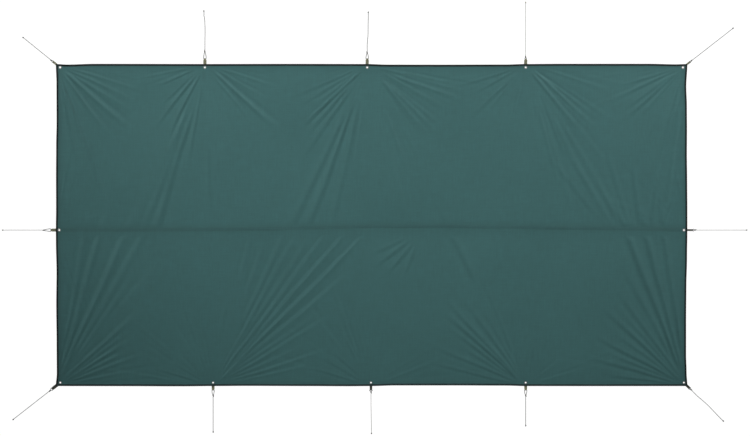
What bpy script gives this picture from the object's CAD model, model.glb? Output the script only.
# %% [markdown]
# # A tarp shelter, laid out flat
# The real object is a sheet of coated cloth, sewn from two panels along a ridge seam, bound with tape
# and held out by guylines at twelve tie-outs. The CAD model gives every size and place. Here each
# soft piece gets the look of the real material: folds, weave, stitches and plaited cord.
# Blender works in metres. Sizes of the part are in millimetres here, unless a comment says otherwise, and
# MM turns them into metres. What goes into Blender as it stands, such as a lamp's place, is in metres.

# %% Load the frame
import math
from collections import namedtuple

import bpy
import numpy as np
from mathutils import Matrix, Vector


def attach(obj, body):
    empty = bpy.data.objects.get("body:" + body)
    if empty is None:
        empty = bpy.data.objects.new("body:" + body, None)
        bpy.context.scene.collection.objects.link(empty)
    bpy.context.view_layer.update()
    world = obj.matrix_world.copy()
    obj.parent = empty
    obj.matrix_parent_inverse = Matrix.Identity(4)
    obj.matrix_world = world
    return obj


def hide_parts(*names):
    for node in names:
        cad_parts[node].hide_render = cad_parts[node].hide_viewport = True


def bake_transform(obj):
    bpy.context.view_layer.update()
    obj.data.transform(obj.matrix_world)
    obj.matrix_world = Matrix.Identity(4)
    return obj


MM = 0.001
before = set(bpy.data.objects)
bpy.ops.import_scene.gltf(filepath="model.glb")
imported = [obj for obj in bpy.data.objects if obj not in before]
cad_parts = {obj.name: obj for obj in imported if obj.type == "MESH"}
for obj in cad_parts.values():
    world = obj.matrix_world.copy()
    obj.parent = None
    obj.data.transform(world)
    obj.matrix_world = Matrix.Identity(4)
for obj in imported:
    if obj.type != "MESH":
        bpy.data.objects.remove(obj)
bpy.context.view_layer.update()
scene = bpy.context.scene
scene.view_settings.view_transform = "Standard"

# %% [markdown]
# ## The camera
# The photograph looks straight down at the sheet, so the camera hangs above the middle of the frame and
# looks along -Z. The picture is 750 pixels wide and one pixel is about 6.34 mm on the cloth, so the lens
# follows from the camera's height. A long lens from far away would show the same, since the sheet is flat.

# %% Camera
PICTURE_W = 750
PIXEL_MM = 6.336
CAMERA_AT = (0.0215, 0.0445, 9.0)
SENSOR_W = 36
bpy.ops.object.camera_add(location=CAMERA_AT, rotation=(0, 0, 0))
camera = bpy.context.object
camera.data.sensor_width = SENSOR_W
camera.data.lens = SENSOR_W * CAMERA_AT[2] / (PICTURE_W * PIXEL_MM * MM)
scene.camera = camera
print("lens:", round(camera.data.lens, 1), "mm")

# %% [markdown]
# ## The tie-outs
# Twelve places on the hem carry an eyelet, a webbing loop and a guyline. Each has its own heading and
# lengths, read off the photograph. A tie-out has a small frame of its own: out of the sheet, sideways,
# and up, starting at the line that its loop bends about.

# %% Tie-out table
Tie = namedtuple("Tie", "name hem heading loop root tip eye line drift bends half")
REAR, FRONT = "rear_half", "front_half"
TIES = [
    # place on the hem, heading in degrees, length of the loop and its width at root and tip, lengths of
    # the cord's eye and of the line, how far the line drifts sideways, bends on its way, and the body
    Tie("rear_left_corner", (-2000, 1020), 141, 24, 14, 7, 14, 235, 0, [], REAR),
    Tie("rear_left", (-1056, 1020), 90, 34, 20, 11, 48, 260, 6, [(170, 0)], REAR),
    Tie("rear_middle", (-28, 1020), 90, 34, 20, 11, 40, 260, -7, [(110, -5)], REAR),
    Tie("rear_right", (976, 1020), 90, 32, 20, 7, 14, 350, 0, [], REAR),
    Tie("rear_right_corner", (2000, 1020), 38, 20, 12, 6, 14, 340, 0, [], REAR),
    Tie("right_ridge", (2000, -32), 0, 36, 12, 8, 16, 330, 0, [], REAR),
    Tie("front_right_corner", (2000, -1020), -45, 20, 16, 9, 14, 290, 4, [(140, 6)], FRONT),
    Tie("front_right", (976, -1020), -90, 26, 18, 10, 36, 195, 0, [], FRONT),
    Tie("front_middle", (-4, -1020), -90, 26, 16, 12, 15, 265, 3, [], FRONT),
    Tie("front_left", (-1004, -1020), -90, 26, 18, 10, 36, 235, 0, [], FRONT),
    Tie("front_left_corner", (-2000, -1020), 218, 30, 20, 12, 20, 300, 0, [], FRONT),
    Tie("left_ridge", (-2000, -32), 180, 32, 19, 11, 46, 265, 0, [], REAR),
]
HALF_L, HALF_W = 2000, 1020
HINGE_OUT = 1.6  # from the hem out to the line that a loop bends about
BIGHT_R = 3.2  # outer radius of a loop's turn


def heading(tie):
    """Unit vectors out of the sheet and sideways."""
    a = math.radians(tie.heading)
    return np.array([math.cos(a), math.sin(a)]), np.array([-math.sin(a), math.cos(a)])


def at_tie(tie, points):
    """World points in metres from (out, sideways, up) in millimetres at a tie-out."""
    out, side = heading(tie)
    p = np.atleast_2d(np.array(points, float))
    xy = np.array(tie.hem) + (HINGE_OUT + p[:, :1]) * out + p[:, 1:2] * side
    return np.column_stack([xy, p[:, 2]]) * MM


def knot_out(tie):
    """From the line that a loop bends about out to its cord's knot."""
    return tie.loop - BIGHT_R + tie.eye


print("tie-outs:", [t.name for t in TIES])

# %% [markdown]
# ## Cord
# The guylines are thin plaited cord. A plain bevelled curve would look like wire, so the skin is built
# ring by ring along a smooth path, and two sets of spirals that cross each other lift the strands of the
# plait. The same helpers later make the knots and, with no plait, the thread of the bar tacks.


# %% Paths
def arc_lengths(path):
    """How far along a path each of its points is."""
    return np.concatenate([[0], np.cumsum(np.linalg.norm(np.diff(path, axis=0), axis=1))])


def smooth_path(points, step):
    """A smooth curve through the points, cut into even steps."""
    p = np.array(points, float)
    t = arc_lengths(p)
    slope = np.gradient(p, t, axis=0)
    fine = np.linspace(0, t[-1], max(200, int(6 * t[-1] / step)))
    k = np.clip(np.searchsorted(t, fine, side="right") - 1, 0, len(t) - 2)
    h = (t[k + 1] - t[k])[:, None]
    u = (fine - t[k])[:, None] / h
    way, leave, arrive = p[k + 1] - p[k], h * slope[k], h * slope[k + 1]
    curve = p[k] + u * leave + u**2 * (3 * way - 2 * leave - arrive) + u**3 * (leave + arrive - 2 * way)
    arc = arc_lengths(curve)
    even = np.linspace(0, arc[-1], max(4, round(arc[-1] / step)) + 1)
    return np.column_stack([np.interp(even, arc, curve[:, c]) for c in range(3)])


# %% Rope skins
ROPE_END = 0.6  # share of the radius that is left at a rope's two ends


def rope_skin(path, radius, sides=16, plait=0.09, pitch=7 * MM):
    """Points, faces and UVs of a tube along a path, with the crossing strands of a plait."""
    ahead = np.gradient(path, axis=0)
    ahead /= np.linalg.norm(ahead, axis=1)[:, None]
    normal = np.zeros_like(path)
    start = np.array([0, 0, 1.0]) if abs(ahead[0][2]) < 0.9 else np.array([1.0, 0, 0])
    for k in range(len(path)):
        v = start - np.dot(start, ahead[k]) * ahead[k]
        normal[k] = start = v / np.linalg.norm(v)
    across = np.cross(ahead, normal)
    arc = arc_lengths(path)
    turn = 2 * math.pi * np.arange(sides) / sides
    spiral = math.pi * arc[:, None] / pitch
    strands = np.maximum(np.abs(np.sin(2 * turn + spiral)), np.abs(np.sin(2 * turn - spiral)))
    r = radius * (1 - plait + plait * strands)
    r[[0, -1]] *= ROPE_END
    ring = np.cos(turn)[None, :, None] * normal[:, None] + np.sin(turn)[None, :, None] * across[:, None]
    points = (path[:, None] + r[..., None] * ring).reshape(-1, 3)
    faces, uvs = [], []
    for k in range(len(path) - 1):
        for m in range(sides):
            n = (m + 1) % sides
            faces.append((k * sides + m, k * sides + n, (k + 1) * sides + n, (k + 1) * sides + m))
            low, high = m / sides, (m + 1) / sides
            uvs += [(arc[k], low), (arc[k], high), (arc[k + 1], high), (arc[k + 1], low)]
    last = (len(path) - 1) * sides
    faces.append(tuple(range(sides))[::-1])
    faces.append(tuple(range(last, last + sides)))
    uvs += [(0, 0)] * sides + [(arc[-1], 0)] * sides
    return points, faces, uvs


def rope_piece(name, skins, material):
    """One piece from a list of skins."""
    points, faces, uvs = [], [], []
    for skin_points, skin_faces, skin_uvs in skins:
        faces += [tuple(i + len(points) for i in face) for face in skin_faces]
        points += [tuple(p) for p in skin_points]
        uvs += skin_uvs
    mesh = bpy.data.meshes.new(name)
    mesh.from_pydata(points, [], faces)
    layer = mesh.uv_layers.new(name="along_and_round")
    layer.data.foreach_set("uv", np.array(uvs, np.float32).ravel())
    mesh.shade_smooth()
    mesh.materials.append(material)
    piece = bpy.data.objects.new(name, mesh)
    scene.collection.objects.link(piece)
    return piece


# %% [markdown]
# ### Building finishes
# A finish is a material whose nodes could be set by hand in the Shader Editor. A few helpers keep that
# short: one adds a node with its sockets set or linked, one tints by a ramp, one multiplies colours and
# one makes bumps. Every pattern starts from a piece's Object coordinates or its UV map.

# %% Material helpers
SPECULAR = 0.15
MIX_SHARE, MIX_A, MIX_B, MIX_RESULT = 0, 6, 7, 2  # a Mix node's sockets for colours


def rgba(colour):
    """The four numbers of a colour, or of a grey that is given as one number."""
    return (*colour, 1) if isinstance(colour, tuple) else (colour, colour, colour, 1)


def new_finish(name, colour, roughness):
    """A new material, its node tree and its shader."""
    material = bpy.data.materials.new(name)
    material.use_nodes = True
    tree = material.node_tree
    shader = tree.nodes["Principled BSDF"]
    shader.inputs["Base Color"].default_value = rgba(colour)
    shader.inputs["Roughness"].default_value = roughness
    shader.inputs["Specular IOR Level"].default_value = SPECULAR
    return material, tree, shader


def feed(tree, value, socket):
    """Links a socket to another one, or sets its value."""
    if isinstance(value, bpy.types.NodeSocket):
        tree.links.new(value, socket)
    else:
        socket.default_value = value


def add(tree, kind, **values):
    """A node with its sockets fed by name. A name that isn't a socket's is a setting of the node."""
    node = tree.nodes.new("ShaderNode" + kind)
    for key, value in values.items():
        if key in node.inputs:
            feed(tree, value, node.inputs[key])
        else:
            setattr(node, key, value)
    return node


def coordinates(tree, which="Object", scale=(1, 1, 1), turn=0.0):
    place = add(tree, "TexCoord").outputs[which]
    return add(tree, "Mapping", Vector=place, Scale=scale, Rotation=(0, 0, turn)).outputs["Vector"]


def noise(tree, vector, scale, detail, **more):
    return add(tree, "TexNoise", Vector=vector, Scale=scale, Detail=detail, **more).outputs["Fac"]


def waves(tree, vector, direction, pitch, distortion):
    """Bands a pitch apart, in metres. At a scale of 1 they would be a twentieth of 2 pi apart."""
    scale = 2 * math.pi / (20 * pitch)
    values = {"bands_direction": direction, "Scale": scale, "Distortion": distortion}
    return add(tree, "TexWave", Vector=vector, **values).outputs["Fac"]


def combine(tree, operation, *values):
    """A Math node of sockets and plain numbers."""
    node = add(tree, "Math", operation=operation)
    for value, socket in zip(values, node.inputs):
        feed(tree, value, socket)
    return node.outputs[0]


def ramp(tree, source, stops):
    """A colour ramp with (place, colour) stops."""
    node = add(tree, "ValToRGB", Fac=source)
    elements = node.color_ramp.elements
    for place, _ in stops[1:-1]:
        elements.new(place)
    for element, (place, colour) in zip(elements, stops):
        element.position = place
        element.color = rgba(colour)
    return node.outputs["Color"]


def multiply(tree, a, b):
    """The product of two colours, which are sockets or four numbers."""
    node = add(tree, "Mix", data_type="RGBA", blend_type="MULTIPLY")
    node.inputs[MIX_SHARE].default_value = 1.0
    feed(tree, a, node.inputs[MIX_A])
    feed(tree, b, node.inputs[MIX_B])
    return node.outputs[MIX_RESULT]


def bump(tree, shader, source, strength, depth):
    node = add(tree, "Bump", Strength=strength, Distance=depth, Height=source)
    tree.links.new(node.outputs["Normal"], shader.inputs["Normal"])


# %% [markdown]
# ### The cord's finish
# The cord is grey with darker flecks where the strands of the plait dive under each other. The UV map
# runs along and round the cord, so the pattern on it follows every bend. Four of the lines look paler and
# thinner in the photograph, as cord does that was left in the sun, so the finish is made twice, and the
# other lines are drawn plumper.


# %% Cord finish
def cord_finish(name, light):
    """light is the brightness of the paler strands; the others have half of it."""
    material, tree, shader = new_finish(name, light, 0.8)
    plain = coordinates(tree)
    strands = coordinates(tree, "UV", (150, 4, 1))
    pale, dark = (light, light, 0.9 * light, 1), (0.5 * light, 0.5 * light, 0.44 * light, 1)
    flecks = add(tree, "TexChecker", Vector=strands, Scale=2.0, Color1=pale, Color2=dark)
    dirt = ramp(tree, noise(tree, plain, 60.0, 4.0), [(0.3, 0.82), (0.7, 1.0)])
    tree.links.new(multiply(tree, flecks.outputs["Color"], dirt), shader.inputs["Base Color"])
    bump(tree, shader, noise(tree, plain, 2500.0, 2.0), 0.25, 0.0002)
    return material


CORD = cord_finish("plaited_cord", 0.065)
WORN_CORD = cord_finish("worn_plaited_cord", 0.26)
WORN_LINES = ("rear_right", "right_ridge", "front_middle", "left_ridge")
CORD_R = 1.5
PLUMP_R = 1.8
print("cord finishes:", CORD.name, WORN_CORD.name)

# %% [markdown]
# ### Guylines
# Each line leaves its knot, drops to the ground and runs out straight, with the small drift or bend that
# the photograph shows. It ends in a stopper knot. The line is declared as a cord of its real length.

# %% Guylines
KNOT_Z, GROUND_Z, STOPPER_Z = 3.3, 1.8, 3.2  # heights of the cord's middle
STOPPER_L = 5  # length of a line that its stopper knot takes up
LINE_STEP = 0.8 * MM
KNOT_STEP = 0.6 * MM


def line_route(tie):
    """(out from the knot, sideways, up) in millimetres."""
    end = tie.line - STOPPER_L
    route = [(0, 0, KNOT_Z), (8, 0, 3.0), (20, 0, 2.1), (32, 0, GROUND_Z), (44, 0, GROUND_Z)]
    route += [(s, t, GROUND_Z) for s, t in tie.bends]
    middle = 0.5 * (route[-1][0] + end)
    route += [(middle, 0.5 * (route[-1][1] + tie.drift), GROUND_Z)]
    route += [(s, tie.drift, GROUND_Z) for s in (end - 30, end - 16)] + [(end, tie.drift, 2.6)]
    return route


def overhand(scale, lift):
    """The path of an overhand knot round the origin, as (out, sideways, up) in millimetres."""
    t = np.linspace(math.pi + 0.2, 3 * math.pi - 0.2, 44)
    x = np.sin(t) + 2 * np.sin(2 * t)
    y = np.cos(t) - 2 * np.cos(2 * t) + 0.8
    z = -np.sin(3 * t)
    return [tuple(p) for p in np.column_stack([scale * x, scale * y, lift * z])]


guylines, stoppers = {}, {}
for tie in TIES:
    k = knot_out(tie)
    path = smooth_path(at_tie(tie, [(k + s, t, z) for s, t, z in line_route(tie)]), LINE_STEP)
    material, radius = (WORN_CORD, CORD_R) if tie.name in WORN_LINES else (CORD, PLUMP_R)
    line = rope_piece("guyline_" + tie.name + "_cord", [rope_skin(path, radius * MM)], material)
    end = k + tie.line - STOPPER_L
    knot = [(end + s, tie.drift + t, STOPPER_Z + z) for s, t, z in overhand(1.0, 1.3)]
    knot = [(end - 6, tie.drift, 2.0)] + knot + [(end + 6, tie.drift + 1, 2.4)]
    skin = rope_skin(smooth_path(at_tie(tie, knot), KNOT_STEP), CORD_R * MM)
    guylines[tie.name] = (line, path)
    stoppers[tie.name] = rope_piece("stopper_knot_" + tie.name, [skin], material)
print("guylines:", {name: round(len(path) * LINE_STEP, 3) for name, (_, path) in guylines.items()})

# %% [markdown]
# ### Eyes and knots
# At the hem each line passes through the webbing loop, comes back and is tied to itself. The eye is one
# path: from the knot along one leg, through the loop and back. The knot is an overhand knot with a
# short tail. Eye and knot move with the loop, and the line swings at the knot.

# %% Eyes and knots
LEG_ROOM = 2.2  # from a loop's edge out to the cord's leg
EYE_R = 1.9
LONG_EYE = 30  # an eye longer than this has a fuller curve


def eye_route(tie):
    bight = tie.loop - BIGHT_R
    side = tie.tip / 2 + LEG_ROOM
    k = knot_out(tie)
    leg = [(k - 2, 0.9, KNOT_Z), (k - 5, 1.6, KNOT_Z)]
    if tie.eye > LONG_EYE:
        leg += [(bight + 0.74 * tie.eye, 0.52 * side, KNOT_Z), (bight + 0.5 * tie.eye, 0.8 * side, KNOT_Z)]
    else:
        leg += [(bight + 0.5 * tie.eye, 0.46 * side + 0.5, KNOT_Z)]
    leg += [(bight + 3.2, side, BIGHT_R)]
    leg += [(bight + 0.9, side - 0.5, BIGHT_R), (bight + 0.1, side - 1.8, BIGHT_R)]
    back = [(s, -t, z) for s, t, z in reversed(leg)]
    return leg + [(bight, 0, BIGHT_R)] + back


eyes = {}
for tie in TIES:
    k = knot_out(tie)
    loop = smooth_path(at_tie(tie, eye_route(tie)), LINE_STEP)
    knot = [(k + s, t, KNOT_Z + z) for s, t, z in overhand(1.15, 1.5)]
    knot = [(k - 7, 0.8, KNOT_Z)] + knot + [(k + 4, 2.3, 2.4), (k + 8, 3.8, 1.8)]
    tied = smooth_path(at_tie(tie, knot), KNOT_STEP)
    skins = [rope_skin(loop, EYE_R * MM), rope_skin(tied, CORD_R * MM)]
    eyes[tie.name] = rope_piece("cord_eye_" + tie.name, skins, CORD)

for tie in TIES:
    line, path = guylines[tie.name]
    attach(line, "line_" + tie.name)
    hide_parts("guyline_" + tie.name)
    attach(stoppers[tie.name], "line_" + tie.name)
    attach(eyes[tie.name], "tie_" + tie.name)
    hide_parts("eye_" + tie.name)
print("eyes and knots:", len(eyes))

# %% [markdown]
# ## The cloth
# Sewn together, the two panels make one sheet of coated cloth. Tension folds fan out of the tie-outs,
# long ones reach the seam, and the cloth between them is nearly flat. A simulation would give folds
# somewhere, but not these, so each main fold is a line from its tie-out with a heading, a reach, a
# width and a strength. A few start on the cloth near the seam.

# %% Main folds
CM = 100  # centimetres in a metre
FOLDS = {
    # heading in degrees, from and to in centimetres, half width and strength in millimetres
    # Where two have the same heading, the shorter one makes the fold stand out near its tie-out.
    "rear_left_corner": [
        (307, 5, 60, 13, 2.6), (319, 5, 66, 16, 3.6), (328, 7, 60, 12, 1.3), (335, 7, 62, 11, 1),
        (343, 7, 58, 11, 0.8), (289, 6, 110, 13, 1.1), (281, 10, 75, 11, 0.5),
    ],
    "rear_left": [
        (231.7, 5, 58, 12, 0.9), (242, 5, 52, 12, 0.7), (222, 5, 50, 11, 0.6), (249.6, 30, 135, 18, 0.7),
        (253.4, 32, 132, 18, 0.8), (246.5, 45, 125, 18, 0.4), (318.5, 5, 66, 15, 2.4), (309, 7, 46, 11, 1),
        (205, 5, 36, 9, 0.8), (331, 5, 50, 11, 0.8), (342, 5, 50, 11, 0.8), (272, 50, 100, 12, 0.35),
    ],
    "rear_middle": [
        (224, 5, 62, 13, 1.7), (219.5, 7, 56, 12, 0.8), (212, 5, 56, 12, 0.7), (204, 5, 58, 12, 0.7),
        (229.5, 10, 66, 12, 0.9), (235.4, 10, 84, 14, 0.7), (245, 30, 135, 16, 0.7), (250, 25, 132, 16, 0.8),
        (257.5, 30, 125, 16, 0.5), (311, 12, 60, 12, 1.3), (315.5, 12, 64, 12, 1.7), (320, 14, 64, 12, 1.3),
        (331, 9, 62, 12, 0.8), (339, 16, 68, 12, 1), (347, 5, 56, 12, 0.7), (284.5, 55, 102, 13, 0.3),
        (291, 30, 80, 11, 0.5),
    ],
    "rear_right": [
        (225, 5, 54, 12, 1), (232, 5, 48, 12, 0.8), (198, 5, 48, 12, 0.8), (209, 5, 46, 12, 0.8),
        (309, 5, 56, 13, 1.2), (313.5, 7, 58, 12, 1), (318, 5, 62, 13, 1.5), (322.5, 9, 56, 12, 1),
        (343, 5, 61, 12, 0.5), (288, 40, 105, 13, 0.3), (297, 35, 130, 13, 0.4), (301.5, 40, 140, 13, 0.5),
    ],
    "rear_right_corner": [
        (228, 5, 52, 12, 1), (221, 5, 61, 13, 1.4), (215, 7, 56, 12, 1), (206, 5, 58, 12, 1),
        (199, 5, 46, 12, 0.6), (254, 10, 81, 14, 0.6), (261.6, 20, 102, 12, 0.6), (267, 30, 90, 11, 0.3),
    ],
    "front_left_corner": [
        (73.8, 10, 130, 13, 1.4), (65.3, 7, 136, 14, 1.6), (59.6, 20, 136, 13, 1.2), (79, 30, 120, 12, 0.8),
        (50, 10, 118, 12, 1), (54.5, 20, 90, 12, 1.1), (42, 5, 80, 12, 2.5), (37, 5, 60, 10, 2.1),
        (32, 5, 60, 10, 3), (26, 7, 52, 9, 1.9), (20, 7, 62, 10, 2.1), (12, 5, 50, 9, 1.3),
    ],
    "front_left": [
        (44.8, 5, 162, 12, 1.8), (49.2, 7, 160, 12, 1.7), (53.4, 10, 150, 11, 1.3), (57.2, 15, 142, 11, 0.9),
        (61.2, 25, 130, 12, 0.9), (65, 45, 125, 13, 0.9), (70.5, 60, 100, 12, 0.8), (76, 70, 100, 12, 0.7),
        (39.6, 5, 125, 13, 1.7), (44.8, 5, 80, 12, 0.9), (53.4, 5, 80, 11, 0.8), (61.2, 7, 70, 11, 0.6),
        (34.5, 7, 90, 11, 1.3), (30.6, 7, 96, 12, 1.7), (24, 7, 70, 10, 1), (17.5, 7, 82, 10, 1.3),
        (12, 5, 70, 9, 0.9), (163, 5, 40, 9, 0.7), (150, 5, 35, 9, 0.6),
    ],
    "front_middle": [
        (20, 5, 46, 9, 0.5), (33, 5, 40, 9, 0.4), (163, 5, 46, 9, 0.7), (150, 5, 40, 9, 0.5),
    ],
    "front_right": [
        (137.3, 5, 72, 11, 3.2), (132.5, 7, 78, 10, 2.2), (142.5, 5, 60, 10, 2.1), (125, 7, 72, 11, 1.3),
        (115.5, 70, 135, 13, 1), (156.6, 5, 62, 10, 1.4), (149, 5, 50, 9, 1), (166.5, 5, 66, 9, 1),
        (38, 5, 36, 9, 0.6), (18, 5, 40, 9, 0.6),
    ],
    "front_right_corner": [
        (111.3, 10, 140, 13, 1.6), (105, 10, 136, 13, 1.3), (98.4, 20, 130, 12, 1), (118, 20, 90, 12, 1),
        (126, 7, 82, 11, 1.3), (131.5, 7, 70, 10, 1.3), (137, 5, 80, 11, 2.1), (144, 5, 62, 10, 1.4),
        (151, 5, 74, 11, 1.8), (157, 7, 60, 9, 1.3), (163, 5, 72, 10, 1.4), (171, 5, 50, 9, 1),
    ],
    "right_ridge": [
        (160, 5, 40, 9, 0.7), (203, 5, 40, 9, 0.7),
    ],
    "left_ridge": [
        (20, 5, 40, 9, 0.7), (-22, 5, 40, 9, 0.7),
    ],
    "seam_middle": [
        (204, 6, 40, 17, 1.4), (216, 6, 42, 17, 1.5), (230, 6, 40, 17, 1.4), (246, 6, 38, 17, 1),
    ],
    "seam_right": [
        (128, 50, 105, 12, 1), (121.5, 38, 100, 12, 1), (116.5, 34, 72, 11, 0.9), (107, 32, 92, 12, 0.8),
        (97, 30, 80, 12, 0.7), (84, 30, 62, 11, 0.6), (72, 32, 66, 11, 0.6),
    ],
}
main_folds = []
for name, folds in FOLDS.items():
    for turn, begin, end, width, strength in folds:
        main_folds.append((name, turn, begin / CM, end / CM, width, strength))
print("main folds:", len(main_folds))

# %% [markdown]
# ### Faint folds
# Between the main folds the real cloth has many faint ones that nobody would draw by hand. A seeded random
# draw gives each tie-out its own fan of them, the same at every run.

# %% Faint folds
FAINT_PER_TIE = 36
CORNER_FAN, HEM_FAN = 44, 82  # degrees to each side of the heading into the sheet


def draw_faint_folds():
    """Folds in the form of the main ones, with low strengths of either sign."""
    draw = np.random.default_rng(11)
    found = []
    for tie in TIES:
        fan = CORNER_FAN if "corner" in tie.name else HEM_FAN
        for _ in range(FAINT_PER_TIE):
            turn = tie.heading + 180 + draw.uniform(-fan, fan)
            begin = draw.uniform(0.06, 0.35)
            end = begin + draw.uniform(0.15, 0.6)
            found.append((tie.name, turn, begin, end, draw.uniform(8, 11), draw.uniform(-0.4, 0.45)))
    return found


all_folds = main_folds + draw_faint_folds()
print("all folds:", len(all_folds))

# %% [markdown]
# ### The shape of a fold
# Cut across, a fold is a rounded ridge with a shallower trough beside it. It is narrow at its tie-out,
# widens along its way, strays a little from a straight line and fades out. Moving the points of a fine
# grid by this formula keeps every fold where the photograph has it.

# %% Shape of a fold
Start = namedtuple("Start", "x y gain spread")
REAR_GAIN, FRONT_GAIN = 1.25, 0.92
REAR_SPREAD, FRONT_SPREAD, CRISP_SPREAD = 1.05, 1.3, 1.0
FOLD_STRAY = 3
FOLD_RISE = 0.09  # metres over which a fold rises
NARROW, WIDENING, WIDE = 0.45, 0.9, 1.15  # shares of the width: at the start, more per metre, at most
TROUGH_DEPTH, TROUGH_AWAY = 0.6, 1.5  # share of the ridge's height, and widths beside it
HIGHEST_FOLD = 7.5

fold_starts = {}
for tie in TIES:
    gain, spread = (REAR_GAIN, REAR_SPREAD) if tie.half == REAR else (FRONT_GAIN, FRONT_SPREAD)
    fold_starts[tie.name] = Start(tie.hem[0] * MM, tie.hem[1] * MM, gain, spread)
fold_starts["front_left"] = fold_starts["front_left"]._replace(spread=CRISP_SPREAD)
fold_starts["seam_middle"] = Start(0.33, -0.03, FRONT_GAIN, CRISP_SPREAD)
fold_starts["seam_right"] = Start(1.74, -0.35, FRONT_GAIN, CRISP_SPREAD)


def ease(low, high, v):
    """0 below low, 1 above high and a smooth rise between."""
    u = np.clip((v - low) / (high - low), 0, 1)
    return u * u * (3 - 2 * u)


def fold_height(x, y, fold):
    """A fold that runs towards the lamps shows less, so it is made higher."""
    name, turn, begin, end, width, strength = fold
    start = fold_starts[name]
    a = math.radians(turn)
    dx, dy = x - start.x, y - start.y
    along = dx * math.cos(a) + dy * math.sin(a)
    across = dy * math.cos(a) - dx * math.sin(a) + FOLD_STRAY * MM * np.sin(8 * along + turn)
    w = start.spread * width * MM * np.clip(NARROW + WIDENING * along, NARROW, WIDE)
    ridge = np.exp(-((across / w) ** 2))
    trough = TROUGH_DEPTH * np.exp(-(((across - TROUGH_AWAY * w) / w) ** 2))
    fade = 1 - ease(0.6, 1.0, (along - begin) / (end - begin))
    lift = min(HIGHEST_FOLD, start.gain * strength / max(0.22, 0.65 * abs(math.cos(a))))
    return lift * MM * ease(0.0, FOLD_RISE, along - begin) * fade * (ridge - trough)


# %% [markdown]
# ### Between the folds
# No cloth lies dead flat, so a few slow waves a metre or so long lift and lower it by a millimetre or two.
# All heights fade out at the hems, where the tape holds the cloth flat, along the seam, and round the
# eyelets, whose flanges clamp it.

# %% Height of the cloth
RIDGE_Y, FOLD_Y = -0.032, -0.0444  # metres: middle of the seam, and the line that the front half folds on
SEAM_LINE = [  # place along the seam in metres, and how far it strays to the rear in millimetres
    (-2.0, 0), (-1.45, 0), (-1.1, 3), (-0.7, 8), (-0.3, 15), (0.05, 22), (0.4, 23),
    (0.8, 18), (1.2, 12), (1.55, 8), (1.8, 5), (1.93, 0), (2.0, 0),
]
EYELET_IN = 22.0
TAPE_HOLD, SEAM_HOLD, BEND_HOLD = 0.013, 0.013, 0.021  # metres that tape, seam and bend keep flat
EYELET_HOLD, EYELET_REACH = 0.012, 0.065  # metres from an eyelet: flat up to one, free from the other
LOWEST = -2.2


def along_line(v, line):
    """The stray in metres at v, eased from station to station."""
    at, amount = np.array(line, float).T
    k = np.clip(np.searchsorted(at, v, side="right") - 1, 0, len(at) - 2)
    return (amount[k] + (amount[k + 1] - amount[k]) * ease(0, 1, (v - at[k]) / (at[k + 1] - at[k]))) * MM


def seam_bow(x):
    return along_line(x, SEAM_LINE)


def eyelet_place(tie):
    """Middle of an eyelet, in metres."""
    out, _ = heading(tie)
    clear = EYELET_IN / min(abs(out)) if "corner" in tie.name else EYELET_IN
    return (np.array(tie.hem) - clear * out) * MM


def slow_waves(x, y):
    height = 0.9 * np.sin(3.1 * x + 1.7 * y + 0.4) + 0.7 * np.sin(5.3 * x - 4.1 * y + 2.0)
    height += 0.5 * np.sin(1.7 * x + 7.3 * y + 1.1) + 0.3 * np.sin(11.0 * x + 3.0 * y)
    return (0.8 + height) * MM


def cloth_height(x, y, rear):
    end = HALF_L * MM - np.abs(x)
    hem = HALF_W * MM - np.abs(y)
    seam = y - RIDGE_Y - seam_bow(x) - SEAM_HOLD if rear else FOLD_Y - y - BEND_HOLD

    def free(edge_reach, seam_reach):
        """0 where the edges hold the cloth flat, 1 from the given reach in metres on."""
        near_edges = ease(TAPE_HOLD, edge_reach, end) * ease(TAPE_HOLD, edge_reach, hem)
        return near_edges * ease(0.0, seam_reach, seam)

    folds = sum(fold_height(x, y, fold) for fold in all_folds) * free(0.040, 0.028)
    for tie in TIES:
        eyelet_x, eyelet_y = eyelet_place(tie)
        folds *= ease(EYELET_HOLD, EYELET_REACH, np.hypot(x - eyelet_x, y - eyelet_y))
    return np.maximum(folds + slow_waves(x, y) * free(0.25, 0.22), LOWEST * MM)


# %% [markdown]
# ### The hem line
# Between two tie-outs the hem is not pulled, so it strays from its straight line by a few millimetres,
# mostly inwards. Sheet, tape and stitches all use the same lines, so they stay together.

# %% Hem line
REAR_LINE = [  # place along the hem in metres, and how far it draws in, in millimetres
    (-2.0, 0), (-1.93, 3.5), (-1.75, -1), (-1.056, 0), (-0.5, -0.8), (-0.028, 0), (0.1, 4), (0.4, 4.5),
    (0.85, 3.5), (0.976, 0), (1.2, -1.2), (1.75, -1.2), (1.93, 2), (2.0, 0),
]
FRONT_LINE = [
    (-2.0, 0), (-1.6, -0.5), (-1.2, -1.5), (-1.004, 0), (-0.8, 1.2), (-0.4, 0), (-0.15, -1), (-0.004, 0),
    (0.15, 4), (0.5, 4), (0.85, 2.8), (0.976, 0), (1.4, -0.3), (2.0, 0),
]
LEFT_LINE = [
    (-1.02, 0), (-0.94, 6), (-0.75, 5), (-0.5, 2.5), (-0.3, 4.5), (-0.1, 0.5), (-0.032, 0), (0.1, 1.5),
    (0.3, 1), (0.5, 2), (0.65, 4.8), (0.9, 4), (1.02, 0),
]
RIGHT_LINE = [
    (-1.02, 0), (-0.93, 5), (-0.82, 8), (-0.6, 8), (-0.4, 6.5), (-0.2, 2), (-0.032, 0), (0.1, 0),
    (0.25, 1), (0.45, 3), (0.6, 2.2), (0.75, 3), (0.88, 7), (1.02, 0),
]
EDGES = {  # whether the edge runs along X, on which side of the middle it is, and its line
    "rear_hem": (True, 1, REAR_LINE),
    "front_hem": (True, -1, FRONT_LINE),
    "left_side": (False, -1, LEFT_LINE),
    "right_side": (False, 1, RIGHT_LINE),
}
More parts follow.
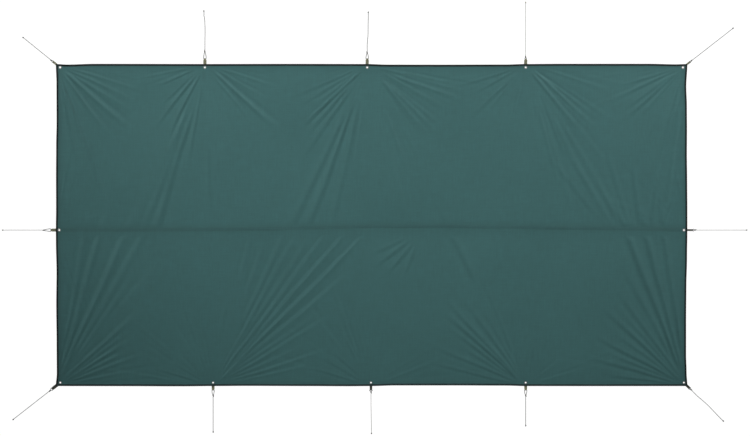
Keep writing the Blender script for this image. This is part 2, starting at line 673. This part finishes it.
DRAW_REACH = 0.30  # metres of cloth that follow a hem which draws in


def drawn_in(x, y, rear):
    """Moves points of the sheet with the hems, less and less towards the middle."""
    sign = 1 if rear else -1
    near_hem = 1 - ease(0.0, DRAW_REACH, HALF_W * MM - np.abs(y))
    near_end = 1 - ease(0.0, DRAW_REACH, HALF_L * MM - np.abs(x))
    side_draw = np.where(x > 0, along_line(y, RIGHT_LINE), along_line(y, LEFT_LINE))
    new_y = y - sign * along_line(x, REAR_LINE if rear else FRONT_LINE) * near_hem
    return x - np.sign(x) * side_draw * near_end, new_y


print("edges:", list(EDGES))

# %% [markdown]
# ### The cloth's finish
# The cloth is a dark green weave with a thin coating, so it has a dull sheen. Its colour varies a little in
# clouds and along warp and weft, and it is a little darker along the hems and beside the seam, which two
# ramps over the sheet's UV map do. The threads are a bump of two crossing sets of waves.

# %% Cloth finish
GREEN = (0.0400, 0.1090, 0.1090)
THREAD_PITCH = 0.0011  # metres
GRAIN = [((220, 9, 1), 0.91), ((9, 220, 1), 0.92), ((24, 24, 24), 0.95)]  # scale and darkest share
SIDE_SHADE = [(0.0, 0.82), (0.005, 0.84), (0.014, 0.98), (0.022, 1.0)]
SIDE_SHADE += [(0.984, 1.0), (0.994, 0.89), (1.0, 0.86)]
REAR_SHADE = [(0.0, 0.86), (0.010, 0.885), (0.018, 0.93), (0.040, 1.0)]
REAR_SHADE += [(0.89, 1.0), (0.94, 0.955), (0.962, 0.92), (0.98, 0.83)]
FRONT_SHADE = [(0.0, 0.925), (0.02, 0.935), (0.06, 0.965), (0.25, 1.0)]
FRONT_SHADE += [(0.87, 1.0), (0.907, 0.975), (0.985, 0.945), (1.0, 0.91)]


def cloth_finish(name, shade):
    """shade holds ramp stops along one or both axes of the piece's UV map."""
    material, tree, shader = new_finish(name, GREEN, 0.5)
    plain = coordinates(tree)
    clouds = noise(tree, plain, 2.2, 6.0, Roughness=0.7)
    mixed = multiply(tree, rgba(GREEN), ramp(tree, clouds, [(0.3, 0.92), (0.7, 1.0)]))
    for scale, low in GRAIN:
        streaks = noise(tree, coordinates(tree, "Object", scale), 1.0, 3.0)
        mixed = multiply(tree, mixed, ramp(tree, streaks, [(0.3, low), (0.7, 1.0)]))
    place = add(tree, "SeparateXYZ", Vector=coordinates(tree, "UV"))
    for axis, stops in shade.items():
        mixed = multiply(tree, mixed, ramp(tree, place.outputs[axis], stops))
    tree.links.new(mixed, shader.inputs["Base Color"])
    tree.links.new(ramp(tree, clouds, [(0.2, 0.46), (0.8, 0.58)]), shader.inputs["Roughness"])
    warp, weft = (waves(tree, plain, direction, THREAD_PITCH, 0.6) for direction in "XY")
    bump(tree, shader, combine(tree, "MAXIMUM", warp, weft), 0.12, 0.0002)
    return material


CLOTH_REAR = cloth_finish("coated_cloth_rear", {"X": SIDE_SHADE, "Y": REAR_SHADE})
CLOTH_FRONT = cloth_finish("coated_cloth_front", {"X": SIDE_SHADE, "Y": FRONT_SHADE})
print("cloth finishes:", CLOTH_REAR.name, CLOTH_FRONT.name)

# %% [markdown]
# ### Shaping a flat grid
# Sheets, seam, tape and webbing are all thin strips. A box could be squeezed thin, but its walls would drift
# apart at every fold. So each starts as a flat grid whose points are moved in code, a Solidify modifier
# gives it an even thickness, and a Boolean one cuts the eyelet holes.

# %% Grid helpers
HOLE_R = 5.75
HOLE_SIDES = 40
CUTTER_H = 0.06  # metres
CRISP_EDGE = math.radians(50)


def select_only(piece):
    bpy.ops.object.select_all(action="DESELECT")
    bpy.context.view_layer.objects.active = piece
    piece.select_set(True)


def get_points(piece):
    co = np.empty(3 * len(piece.data.vertices))
    piece.data.vertices.foreach_get("co", co)
    return co.reshape(-1, 3)


def set_points(piece, points):
    piece.data.vertices.foreach_set("co", np.asarray(points, float).ravel())
    piece.data.update()


def grid_piece(name, columns, rows):
    """A flat grid and the place of each of its points as (column share, row share)."""
    bpy.ops.mesh.primitive_grid_add(x_subdivisions=columns, y_subdivisions=rows, size=1)
    piece = bpy.context.object
    piece.name = piece.data.name = name
    return piece, get_points(piece)[:, :2] + 0.5


def pick(values, share):
    """The value that each point finds at its share of the way along a list."""
    return values[np.rint(share * (len(values) - 1)).astype(int)]


def thicken(piece, thickness):
    solid = piece.modifiers.new("thickness", "SOLIDIFY")
    solid.thickness = thickness * MM
    solid.offset = 0


def apply_modifiers(piece):
    select_only(piece)
    for modifier in list(piece.modifiers):
        bpy.ops.object.modifier_apply(modifier=modifier.name)


def pierce(piece, ties):
    """Cuts the eyelet holes of these tie-outs and applies the piece's modifiers."""
    posts = []
    for tie in ties:
        x, y = eyelet_place(tie)
        bpy.ops.mesh.primitive_cylinder_add(
            vertices=HOLE_SIDES, radius=HOLE_R * MM, depth=CUTTER_H, location=(x, y, 0)
        )
        posts.append(bpy.context.object)
    select_only(posts[0])
    for post in posts:
        post.select_set(True)
    bpy.ops.object.join()
    cutter = bpy.context.object
    holes = piece.modifiers.new("eyelet holes", "BOOLEAN")
    holes.object = cutter
    holes.operation = "DIFFERENCE"
    holes.solver = "MANIFOLD"
    apply_modifiers(piece)
    bpy.data.objects.remove(cutter)


def give_finish(piece, material):
    """Gives a piece its material, and smooth shading that keeps sharp edges crisp."""
    piece.data.materials.clear()
    piece.data.materials.append(material)
    select_only(piece)
    bpy.ops.object.shade_smooth_by_angle(angle=CRISP_EDGE)


# %% [markdown]
# ### The two sheets
# The lines of the grid are moved closer together round the tie-outs, where folds are narrow, and every
# point is lifted to the height of the cloth. The edges of the two sheets meet under the ridge seam and
# stray with it.

# %% Sheets
CLOTH_Z, CLOTH_T = 3.15, 0.5
EDGE = 0.6  # the cloth ends this far inside the hem, within the tape
SEAM_GAP = 0.0003  # metres, as are the places below
STILL_Y = 0.25  # behind this the rear sheet doesn't stray with the seam
FLAT_END, BEND_START = -0.068, -0.0655  # the front sheet's flat part, and the stretch that bends
TIE_COLUMNS = (-2, -1.03, -0.02, 0.976, 2)  # the columns stand closer together round these
COLUMNS, REAR_ROWS, FRONT_ROWS, BEND_ROWS = 430, 108, 97, 9


def uneven_lines(low, high, centres, count, reach=0.22, gain=1.1):
    """count steps from low to high that are shorter near the centres."""
    v = np.linspace(low, high, 4000)
    near = np.max([np.exp(-(((v - c) / reach) ** 2)) for c in centres], axis=0)
    total = np.concatenate([[0], np.cumsum((1 + gain * near)[1:] * np.diff(v))])
    return np.interp(np.linspace(0, total[-1], count + 1), total, v)


def make_sheet(name, xs, ys, rear, ties, material):
    piece, share = grid_piece(name, len(xs) - 1, len(ys) - 1)
    x, y = pick(xs, share[:, 0]), pick(ys, share[:, 1])
    near_seam = 1 - ease(RIDGE_Y, STILL_Y, y) if rear else np.clip((y - FOLD_Y) / (RIDGE_Y - FOLD_Y), 0, 1)
    y = y + seam_bow(x) * near_seam
    z = CLOTH_Z * MM + cloth_height(x, y, rear)
    x, y = drawn_in(x, y, rear)
    set_points(piece, np.column_stack([x, y, z]))
    thicken(piece, CLOTH_T)
    pierce(piece, ties)
    give_finish(piece, material)
    print(name, "triangles:", sum(len(p.vertices) - 2 for p in piece.data.polygons))
    return piece


ends, side = (HALF_L - EDGE) * MM, (HALF_W - EDGE) * MM
columns = uneven_lines(-ends, ends, TIE_COLUMNS, COLUMNS)
rear_rows = uneven_lines(RIDGE_Y + SEAM_GAP, side, [side], REAR_ROWS)
bend_rows = np.concatenate([np.linspace(BEND_START, FOLD_Y, BEND_ROWS), [RIDGE_Y - SEAM_GAP]])
front_rows = np.concatenate([uneven_lines(-side, FLAT_END, [-side], FRONT_ROWS), bend_rows])
rear_ties = [t for t in TIES if t.half == REAR]
front_ties = [t for t in TIES if t.half == FRONT]
ridge_ties = [t for t in TIES if "ridge" in t.name]
rear_sheet = make_sheet("rear_cloth", columns, rear_rows, True, rear_ties, CLOTH_REAR)
front_sheet = make_sheet("front_cloth", columns, front_rows, False, front_ties + ridge_ties, CLOTH_FRONT)

# %% [markdown]
# ### How the sheets move
# The rear sheet stays with the rear half. The front sheet folds up along the seam, so its first
# two centimetres bend between the halves and the rest follows the front half.

# %% Sheets on their bodies
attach(rear_sheet, REAR)
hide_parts("rear_panel")
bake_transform(front_sheet)
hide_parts("front_panel")

# %% [markdown]
# ## The ridge seam
# The two panels are sewn with a felled seam: the edges are rolled into each other and stitched down in two
# rows. Four layers of cloth look darker there than one, in some places more than in others. The seam takes
# the cloth's own finish, with a dark band along its middle, and a noise decides how much of it shows.


# %% Seam finish
def seam_finish():
    stops = [(0.0, 0.9), (0.25, 0.79), (0.75, 0.79), (1.0, 0.88)]
    material = cloth_finish("seam_cloth", {"Y": stops})
    tree = material.node_tree
    banded = tree.nodes["Principled BSDF"].inputs["Base Color"].links[0].from_node
    patches = noise(tree, coordinates(tree), 3.0, 3.0)
    tree.links.new(ramp(tree, patches, [(0.36, 0.7), (0.62, 1.0)]), banded.inputs[MIX_SHARE])
    return material


SEAM_CLOTH = seam_finish()
print("seam finish:", SEAM_CLOTH.name)

# %% [markdown]
# ### The welt
# From above the seam is a low welt. A strip of grid is arched across, dips under each row of stitches and
# puckers a little along its length.

# %% Ridge seam
SEAM_W, SEAM_T = 24, 0.5
SEAM_END = 12  # the welt stops this far from the side hems
SEAM_ROWS = (-7.5, 7.5)
SEAM_Z, ARCH = 3.42, 0.24
DIP, DIP_W = 0.10, 1.1
PUCKER = 0.06
SEAM_GRID = (900, 22)  # columns and rows


def seam_z(across, x):
    """Height of the seam's skin in millimetres, across from its middle line in millimetres."""
    edge = np.clip(np.abs(across) / (SEAM_W / 2), 0, 1)
    z = SEAM_Z + ARCH * np.cos(0.5 * math.pi * edge) ** 2
    for row in SEAM_ROWS:
        z = z - DIP * np.exp(-(((across - row) / DIP_W) ** 2))
    pucker = PUCKER * np.sin(260 * x + across * 0.3) + PUCKER * np.sin(143 * x - across * 0.2)
    return z + pucker * (1 - edge**2)


seam, share = grid_piece("ridge_seam_welt", *SEAM_GRID)
x = (share[:, 0] - 0.5) * 2 * (HALF_L - SEAM_END) * MM
across = (share[:, 1] - 0.5) * SEAM_W
y = RIDGE_Y + seam_bow(x) + across * MM
set_points(seam, np.column_stack([x, y, seam_z(across, x) * MM - SEAM_T / 2 * MM]))
thicken(seam, SEAM_T)
pierce(seam, ridge_ties)
give_finish(seam, SEAM_CLOTH)
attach(seam, REAR)
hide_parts("ridge_seam")
print("seam points:", len(seam.data.vertices))

# %% [markdown]
# ## Binding tape
# Woven tape is folded round every edge and sewn through. Its finish has ribs across its length and yarns
# along it, from the UV map, so that they follow the tape, with worn, lighter tops. The front tape looks
# faded in the photograph, so it has a lighter tone. The webbing takes the same finish further on.


# %% Tape finish
def ribbed_finish(name, colour, size, rib, depth):
    """size is the strip's length and width, so that ribs and bumps are in metres."""
    material, tree, shader = new_finish(name, colour, 0.85)
    vector = coordinates(tree, "UV", (*size, 1))
    ribs, yarns = waves(tree, vector, "X", rib, 0.4), waves(tree, vector, "Y", 1.6 * rib, 0.4)
    weave = combine(tree, "MULTIPLY", ribs, yarns)
    clouds = noise(tree, coordinates(tree), 14.0, 4.0)
    mixed = multiply(tree, rgba(colour), ramp(tree, weave, [(0.0, 0.72), (0.6, 1.0)]))
    mixed = multiply(tree, mixed, ramp(tree, clouds, [(0.3, 0.8), (0.7, 1.0)]))
    tree.links.new(mixed, shader.inputs["Base Color"])
    bump(tree, shader, weave, 0.5, depth)
    return material


TAPE_WEAVE = ((4.0, 0.026), 0.0012, 0.0002)
TAPE = ribbed_finish("binding_tape", (0.0055, 0.009, 0.0085), *TAPE_WEAVE)
WORN_TAPE = ribbed_finish("worn_binding_tape", (0.018, 0.031, 0.032), *TAPE_WEAVE)
print("tape finishes:", TAPE.name, WORN_TAPE.name)

# %% [markdown]
# ### Folding the tape
# As by hand, a flat strip is folded: the grid's rows follow a path under the cloth, round its edge and over
# it. The ends are mitred at the corners. The side tapes cross the fold line, so they bend there like the
# front sheet.

# %% Binding tape
TAPE_PATH = [  # inset from the edge, and height of the tape's middle
    (12.0, 2.62), (7.0, 2.58), (2.0, 2.60), (0.9, 2.66), (0.4, 2.86), (0.28, 3.15),
    (0.4, 3.46), (0.9, 3.68), (2.0, 3.80), (5.0, 3.92), (8.0, 3.86), (10.0, 3.74), (12.0, 3.68),
]
TAPE_T = 0.45
TAPE_ROWS = 26
HEM_COLUMNS, SIDE_COLUMNS = 700, 1300


def tape_section():
    """(inset, height) in millimetres of the points across the folded tape."""
    fine = smooth_path([(d, 0, z) for d, z in TAPE_PATH], 0.05)
    return fine[np.rint(np.linspace(0, len(fine) - 1, TAPE_ROWS + 1)).astype(int)][:, [0, 2]]


def make_tape(edge, material):
    along_x, sign, line = EDGES[edge]
    run, outer = (HALF_L, HALF_W) if along_x else (HALF_W, HALF_L)
    piece, share = grid_piece(edge + "_tape", HEM_COLUMNS if along_x else SIDE_COLUMNS, TAPE_ROWS)
    inset, z = pick(tape_section(), share[:, 1]).T
    v = (share[:, 0] - 0.5) * 2 * (run - inset) * MM
    rise = 0.10 * np.sin(70 * v) + 0.08 * np.sin(157 * v + 1)
    z = z + rise * ease(3.4, 4.0, z)
    w = sign * ((outer - inset) * MM - along_line(v, line))
    order = [v, w] if along_x else [w, v]
    set_points(piece, np.column_stack(order + [z * MM]))
    thicken(piece, TAPE_T)
    apply_modifiers(piece)
    give_finish(piece, material)
    return piece


tapes = {edge: make_tape(edge, WORN_TAPE if edge == "front_hem" else TAPE) for edge in EDGES}
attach(tapes["rear_hem"], REAR)
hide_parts("rear_hem_binding")
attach(tapes["front_hem"], FRONT)
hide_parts("front_hem_binding")
for end in ("left", "right"):
    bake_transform(tapes[end + "_side"])
    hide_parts(end + "_rear_binding", end + "_front_binding")
print("tape faces:", {edge: len(tape.data.polygons) for edge, tape in tapes.items()})

# %% [markdown]
# ## Stitches
# Each row of stitching is one small stitch, shaped once and repeated by an Array modifier, and then
# moved onto its line. A stitch is a short bead of thread whose ends dip into the cloth. The thread's finish
# is a fine noise that stands for its twist.

# %% Thread finish and a row of stitches
STITCH_PITCH, STITCH_L = 4.5, 3.4
STITCH_SIZE = np.array([STITCH_L / 2, 0.38, 0.3])
STITCH_DIP, STITCH_SLANT = 0.28, 0.1


def thread_finish():
    material, tree, shader = new_finish("sewing_thread", (0.03, 0.05, 0.05), 0.6)
    twist = noise(tree, coordinates(tree), 900.0, 2.0)
    tone = ramp(tree, twist, [(0.3, (0.02, 0.034, 0.034)), (0.7, (0.045, 0.07, 0.07))])
    tree.links.new(tone, shader.inputs["Base Color"])
    bump(tree, shader, twist, 0.3, 0.0001)
    return material


def stitch_row(name, length):
    """Stitches from -length / 2 to length / 2 along X, in metres, as a piece and its points."""
    bpy.ops.mesh.primitive_uv_sphere_add(segments=8, ring_count=5, radius=1, rotation=(0, math.pi / 2, 0))
    piece = bpy.context.object
    piece.name = piece.data.name = name
    bpy.ops.object.transform_apply(rotation=True)
    co = get_points(piece)
    bead = co * STITCH_SIZE
    bead[:, 2] -= STITCH_DIP * co[:, 0] ** 2
    bead[:, 1] += STITCH_SLANT * co[:, 0]
    set_points(piece, bead * MM)
    count = int(length / (STITCH_PITCH * MM))
    row = piece.modifiers.new("row", "ARRAY")
    row.count = count
    row.use_relative_offset = False
    row.use_constant_offset = True
    row.constant_offset_displace = (STITCH_PITCH * MM, 0, 0)
    apply_modifiers(piece)
    give_finish(piece, THREAD)
    co = get_points(piece)
    co[:, 0] -= (count - 1) * STITCH_PITCH * MM / 2
    return piece, co


THREAD = thread_finish()
print("thread finish:", THREAD.name)

# %% [markdown]
# ### The six rows
# One row holds each tape and two hold the seam. A row on a side tape is turned a quarter, never mirrored,
# because a mirrored mesh would be inside out.

# %% Stitch rows
TAPE_ROW, TAPE_ROW_Z = 9.6, 4.02  # inset from the edge, and height
TAPE_ROW_END, SEAM_ROW_END = 14, 34
SEAM_ROW_UP = 0.2


def edge_row(edge):
    along_x, sign, line = EDGES[edge]
    run, outer = (HALF_L, HALF_W) if along_x else (HALF_W, HALF_L)
    piece, co = stitch_row(edge + "_stitching", 2 * (run - TAPE_ROW_END) * MM)
    w = sign * ((outer - TAPE_ROW) * MM - along_line(co[:, 0], line))
    order = [co[:, 0], w + co[:, 1]] if along_x else [w - co[:, 1], co[:, 0]]
    set_points(piece, np.column_stack(order + [co[:, 2] + TAPE_ROW_Z * MM]))
    return piece


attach(edge_row("rear_hem"), REAR)
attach(edge_row("front_hem"), FRONT)
for edge in ("left_side", "right_side"):
    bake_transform(edge_row(edge))
for half, row in zip(("front", "rear"), SEAM_ROWS):
    piece, co = stitch_row("seam_stitching_" + half, 2 * (HALF_L - SEAM_ROW_END) * MM)
    y = RIDGE_Y + seam_bow(co[:, 0]) + row * MM + co[:, 1]
    z = co[:, 2] + (seam_z(np.full(len(co), row), co[:, 0]) + SEAM_ROW_UP) * MM
    set_points(piece, np.column_stack([co[:, 0], y, z]))
    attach(piece, REAR)
print("stitch rows:", len(EDGES) + len(SEAM_ROWS))

# %% [markdown]
# ## Webbing loops
# A strip of webbing is folded double: it comes out from under the hem, turns round the cord and goes back
# on itself. Some loops are pulled narrow by their line, and four are of a darker webbing. A flat strip is
# led along that path, so the ribs of the weave follow it, and it bends at the hem when the loop lifts.

# %% Webbing loops
WEB_WEAVE = ((0.09, 0.02), 0.0016, 0.0004)
WEBBING = ribbed_finish("webbing", (0.22, 0.22, 0.145), *WEB_WEAVE)
DARK_WEBBING = ribbed_finish("dark_webbing", (0.055, 0.058, 0.046), *WEB_WEAVE)
DARK_LOOPS = ("right_ridge", "front_right_corner", "front_middle", "front_left_corner")
WEB_W, WEB_T = 20, 1.1
WEB_ROWS = 10
SOFT_EDGE = 0.25
LOWER_Z, UPPER_Z = 0.62, 1.78  # middle of the strip's lower and upper layer where it lies flat
TAIL, CORNER_TAIL = 10, 16
THROAT = 7


def webbing_path(tie):
    """(out, up) in millimetres of the folded strip's middle, from its lower to its upper end."""
    bight = tie.loop - BIGHT_R
    tail = -HINGE_OUT - (CORNER_TAIL if "corner" in tie.name else TAIL)
    r = BIGHT_R - 0.6
    lower = [(s, LOWER_Z) for s in np.linspace(tail, bight - 1, 24)]
    turn = [(bight + r * math.sin(a), BIGHT_R - r * math.cos(a)) for a in np.linspace(0.1, math.pi - 0.5, 18)]
    upper = [(bight - 3, 5.35), (0.5 * (bight + THROAT), 3.5), (THROAT + 1, 2.0)]
    upper += [(s, UPPER_Z) for s in np.linspace(THROAT - 1, tail, 12)]
    return smooth_path([(s, 0, z) for s, z in lower + turn + upper], 0.7)[:, [0, 2]]


def make_loop(tie):
    path = webbing_path(tie)
    piece, share = grid_piece("webbing_" + tie.name, len(path) - 1, WEB_ROWS)
    out, z = pick(path, share[:, 0]).T
    narrow = ease(0.6 * tie.loop, tie.loop, out)
    width = tie.root + (tie.tip - tie.root) * narrow
    across = share[:, 1] - 0.5
    gather = (1 - tie.tip / WEB_W) * narrow
    ripple = 0.55 * gather * np.sin(3 * math.pi * across + 0.5)
    z = z + ripple * (z > (LOWER_Z + UPPER_Z) / 2)
    set_points(piece, at_tie(tie, np.column_stack([out, across * width, z])))
    thicken(piece, WEB_T)
    edge = piece.modifiers.new("soft edges", "BEVEL")
    edge.width = SOFT_EDGE * MM
    edge.segments = 1
    edge.angle_limit = math.radians(60)
    apply_modifiers(piece)
    give_finish(piece, DARK_WEBBING if tie.name in DARK_LOOPS else WEBBING)
    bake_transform(piece)
    tails = "rear_webbing_tails" if tie.half == REAR else "front_webbing_tails"
    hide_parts("loop_" + tie.name, tails)
    return piece


loops = [make_loop(tie) for tie in TIES]
print("webbing loops:", len(loops))

# %% [markdown]
# ## Bar tacks
# A bar of close zigzag stitches holds each strip of webbing through the tape. One thread goes to and fro,
# so each bar is a rope skin without a plait, led along a zigzag path.

# %% Bar tacks
TACK_BACK, CORNER_TACK_BACK = 6, 12  # from the hem in to the bar
TACK_W, TACK_PITCH, TACK_Z = 2.0, 0.62, 4.12
TACK_SHARE = 0.9  # share of the webbing's width that the bar takes up
THREAD_R = 0.3


def bar_tack(tie):
    back = HINGE_OUT + (CORNER_TACK_BACK if "corner" in tie.name else TACK_BACK)
    width = TACK_SHARE * tie.root
    turns = int(width / TACK_PITCH)
    t = np.linspace(-width / 2, width / 2, turns)
    s = -back + TACK_W / 2 * np.where(np.arange(turns) % 2, 1, -1)
    path = [(a, b, TACK_Z) for a, b in zip(s, t)]
    return rope_skin(smooth_path(at_tie(tie, path), 0.35 * MM), THREAD_R * MM, sides=6, plait=0)


for name, ties, body in (("rear_bar_tacks", rear_ties, REAR), ("front_bar_tacks", front_ties, FRONT)):
    tacks = rope_piece(name + "_thread", [bar_tack(t) for t in ties], THREAD)
    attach(tacks, body)
    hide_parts(name)
print("bar tacks:", len(TIES))

# %% [markdown]
# ## Eyelets
# The eyelets and washers are turned metal parts, and their CAD shape is right, so they stay and get
# a plated finish: bright, with fine scratches and a duller, slightly tarnished film in places. Those of
# the front half are duller in the photograph, so the finish is made twice.


# %% Eyelets
def plated_finish(name, shine):
    material, tree, shader = new_finish(name, shine, 0.3)
    shader.inputs["Metallic"].default_value = 1.0
    film = noise(tree, coordinates(tree), 160.0, 5.0)
    tarnished = (0.6 * shine, 0.6 * shine, 0.55 * shine)
    tree.links.new(ramp(tree, film, [(0.3, tarnished), (0.65, shine)]), shader.inputs["Base Color"])
    tree.links.new(ramp(tree, film, [(0.3, 0.5), (0.7, 0.34)]), shader.inputs["Roughness"])
    scratches = noise(tree, coordinates(tree, "Object", (4000, 300, 300), 0.6), 1.0, 2.0)
    bump(tree, shader, scratches, 0.08, 0.0001)
    return material


for half, shine in (("rear", 0.32), ("front", 0.17)):
    plated = plated_finish("plated_metal_" + half, shine)
    for kind in ("eyelets", "washers"):
        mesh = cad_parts[half + "_" + kind].data
        mesh.materials.clear()
        mesh.materials.append(plated)
print("eyelets keep their CAD shape")

# %% [markdown]
# ## What the sheets are
# Each panel is declared as a sheet with its flat cut, and with the tape and the seam that are on it.

# %% Sheets declared
print("sheets:", rear_sheet.name, front_sheet.name)

# %% [markdown]
# ## Ground
# The photograph is cut out on white. The ground looks white to the camera, and to anything shiny, but
# a part of it is real diffuse white, so that it keeps a soft shadow.

# %% Ground
GROUND_DROP = 0.0004  # metres below the CAD model's lowest point
WHITE_SHARE, WHITE_GLOW = 0.92, 1.065


def seen_share(tree, share):
    """share for camera, glossy and transmission rays, and 0 for the rays that light the object."""
    rays = add(tree, "LightPath").outputs
    seen = combine(tree, "MAXIMUM", rays["Is Camera Ray"], rays["Is Glossy Ray"])
    seen = combine(tree, "MAXIMUM", seen, rays["Is Transmission Ray"])
    return combine(tree, "MULTIPLY", seen, share)


def show(tree, share, lit, white, output):
    """Sends the output a mix of two shaders, with this share of the white one."""
    mixed = add(tree, "MixShader")
    for source, socket in zip((share, lit.outputs[0], white.outputs[0]), mixed.inputs):
        tree.links.new(source, socket)
    tree.links.new(mixed.outputs[0], tree.nodes[output].inputs["Surface"])


bpy.ops.mesh.primitive_plane_add(size=60, location=(0, 0, -GROUND_DROP))
ground = bpy.context.object
ground.name = "ground"
paper = bpy.data.materials.new("white_ground")
paper.use_nodes = True
tree = paper.node_tree
tree.nodes.remove(tree.nodes["Principled BSDF"])
diffuse = add(tree, "BsdfDiffuse", Color=rgba(0.9))
white = add(tree, "Emission", Strength=WHITE_GLOW)
show(tree, seen_share(tree, WHITE_SHARE), diffuse, white, "Material Output")
ground.data.materials.append(paper)
print("ground:", tuple(round(v, 1) for v in ground.dimensions))

# %% [markdown]
# ## Light
# Two lamps stand behind the sheet, far to the left and right, with a nearer one between them, so folds of
# every heading show. The outer lamps are narrowed, as by a grid on a studio lamp, so the light falls off
# towards the front corners, the left one most. A plain white surround fills the shadows; the camera sees
# it as full white, and shiny things see it a little dimmer.

# %% Light
SURROUND = 0.27
MIRRORED = 0.8  # brightness of the surround in shiny things
LAMP_W, LAMP_H = 2.4, 1.2
LAMPS = [  # place, what it is aimed at, power in watts and spread in degrees
    ((-6.0, 6.0, 4.0), (-0.95, 0.72, 0), 36.5, 34.4),
    ((6.0, 6.0, 4.0), (2.4, 1.8, 0), 64, 46.3),
    ((0.3, 4.0, 3.0), (0, 0, 0), 57, 180),
]
world = bpy.data.worlds.new("white_surround")
scene.world = world
world.use_nodes = True
tree = world.node_tree
background = tree.nodes["Background"]
background.inputs["Color"].default_value = rgba(1)
background.inputs["Strength"].default_value = SURROUND
camera_ray = add(tree, "LightPath").outputs["Is Camera Ray"]
strength = combine(tree, "MULTIPLY_ADD", camera_ray, 1 - MIRRORED, MIRRORED)
bright = add(tree, "Background", Color=rgba(1), Strength=strength)
show(tree, seen_share(tree, 1.0), background, bright, "World Output")
for place, aim, power, spread in LAMPS:
    bpy.ops.object.light_add(type="AREA", location=place)
    lamp = bpy.context.object
    lamp.rotation_euler = (Vector(aim) - Vector(place)).to_track_quat("-Z", "Y").to_euler()
    lamp.data.shape = "RECTANGLE"
    lamp.data.size = LAMP_W
    lamp.data.size_y = LAMP_H
    lamp.data.energy = power
    lamp.data.spread = math.radians(spread)
print("lamps:", len(LAMPS))
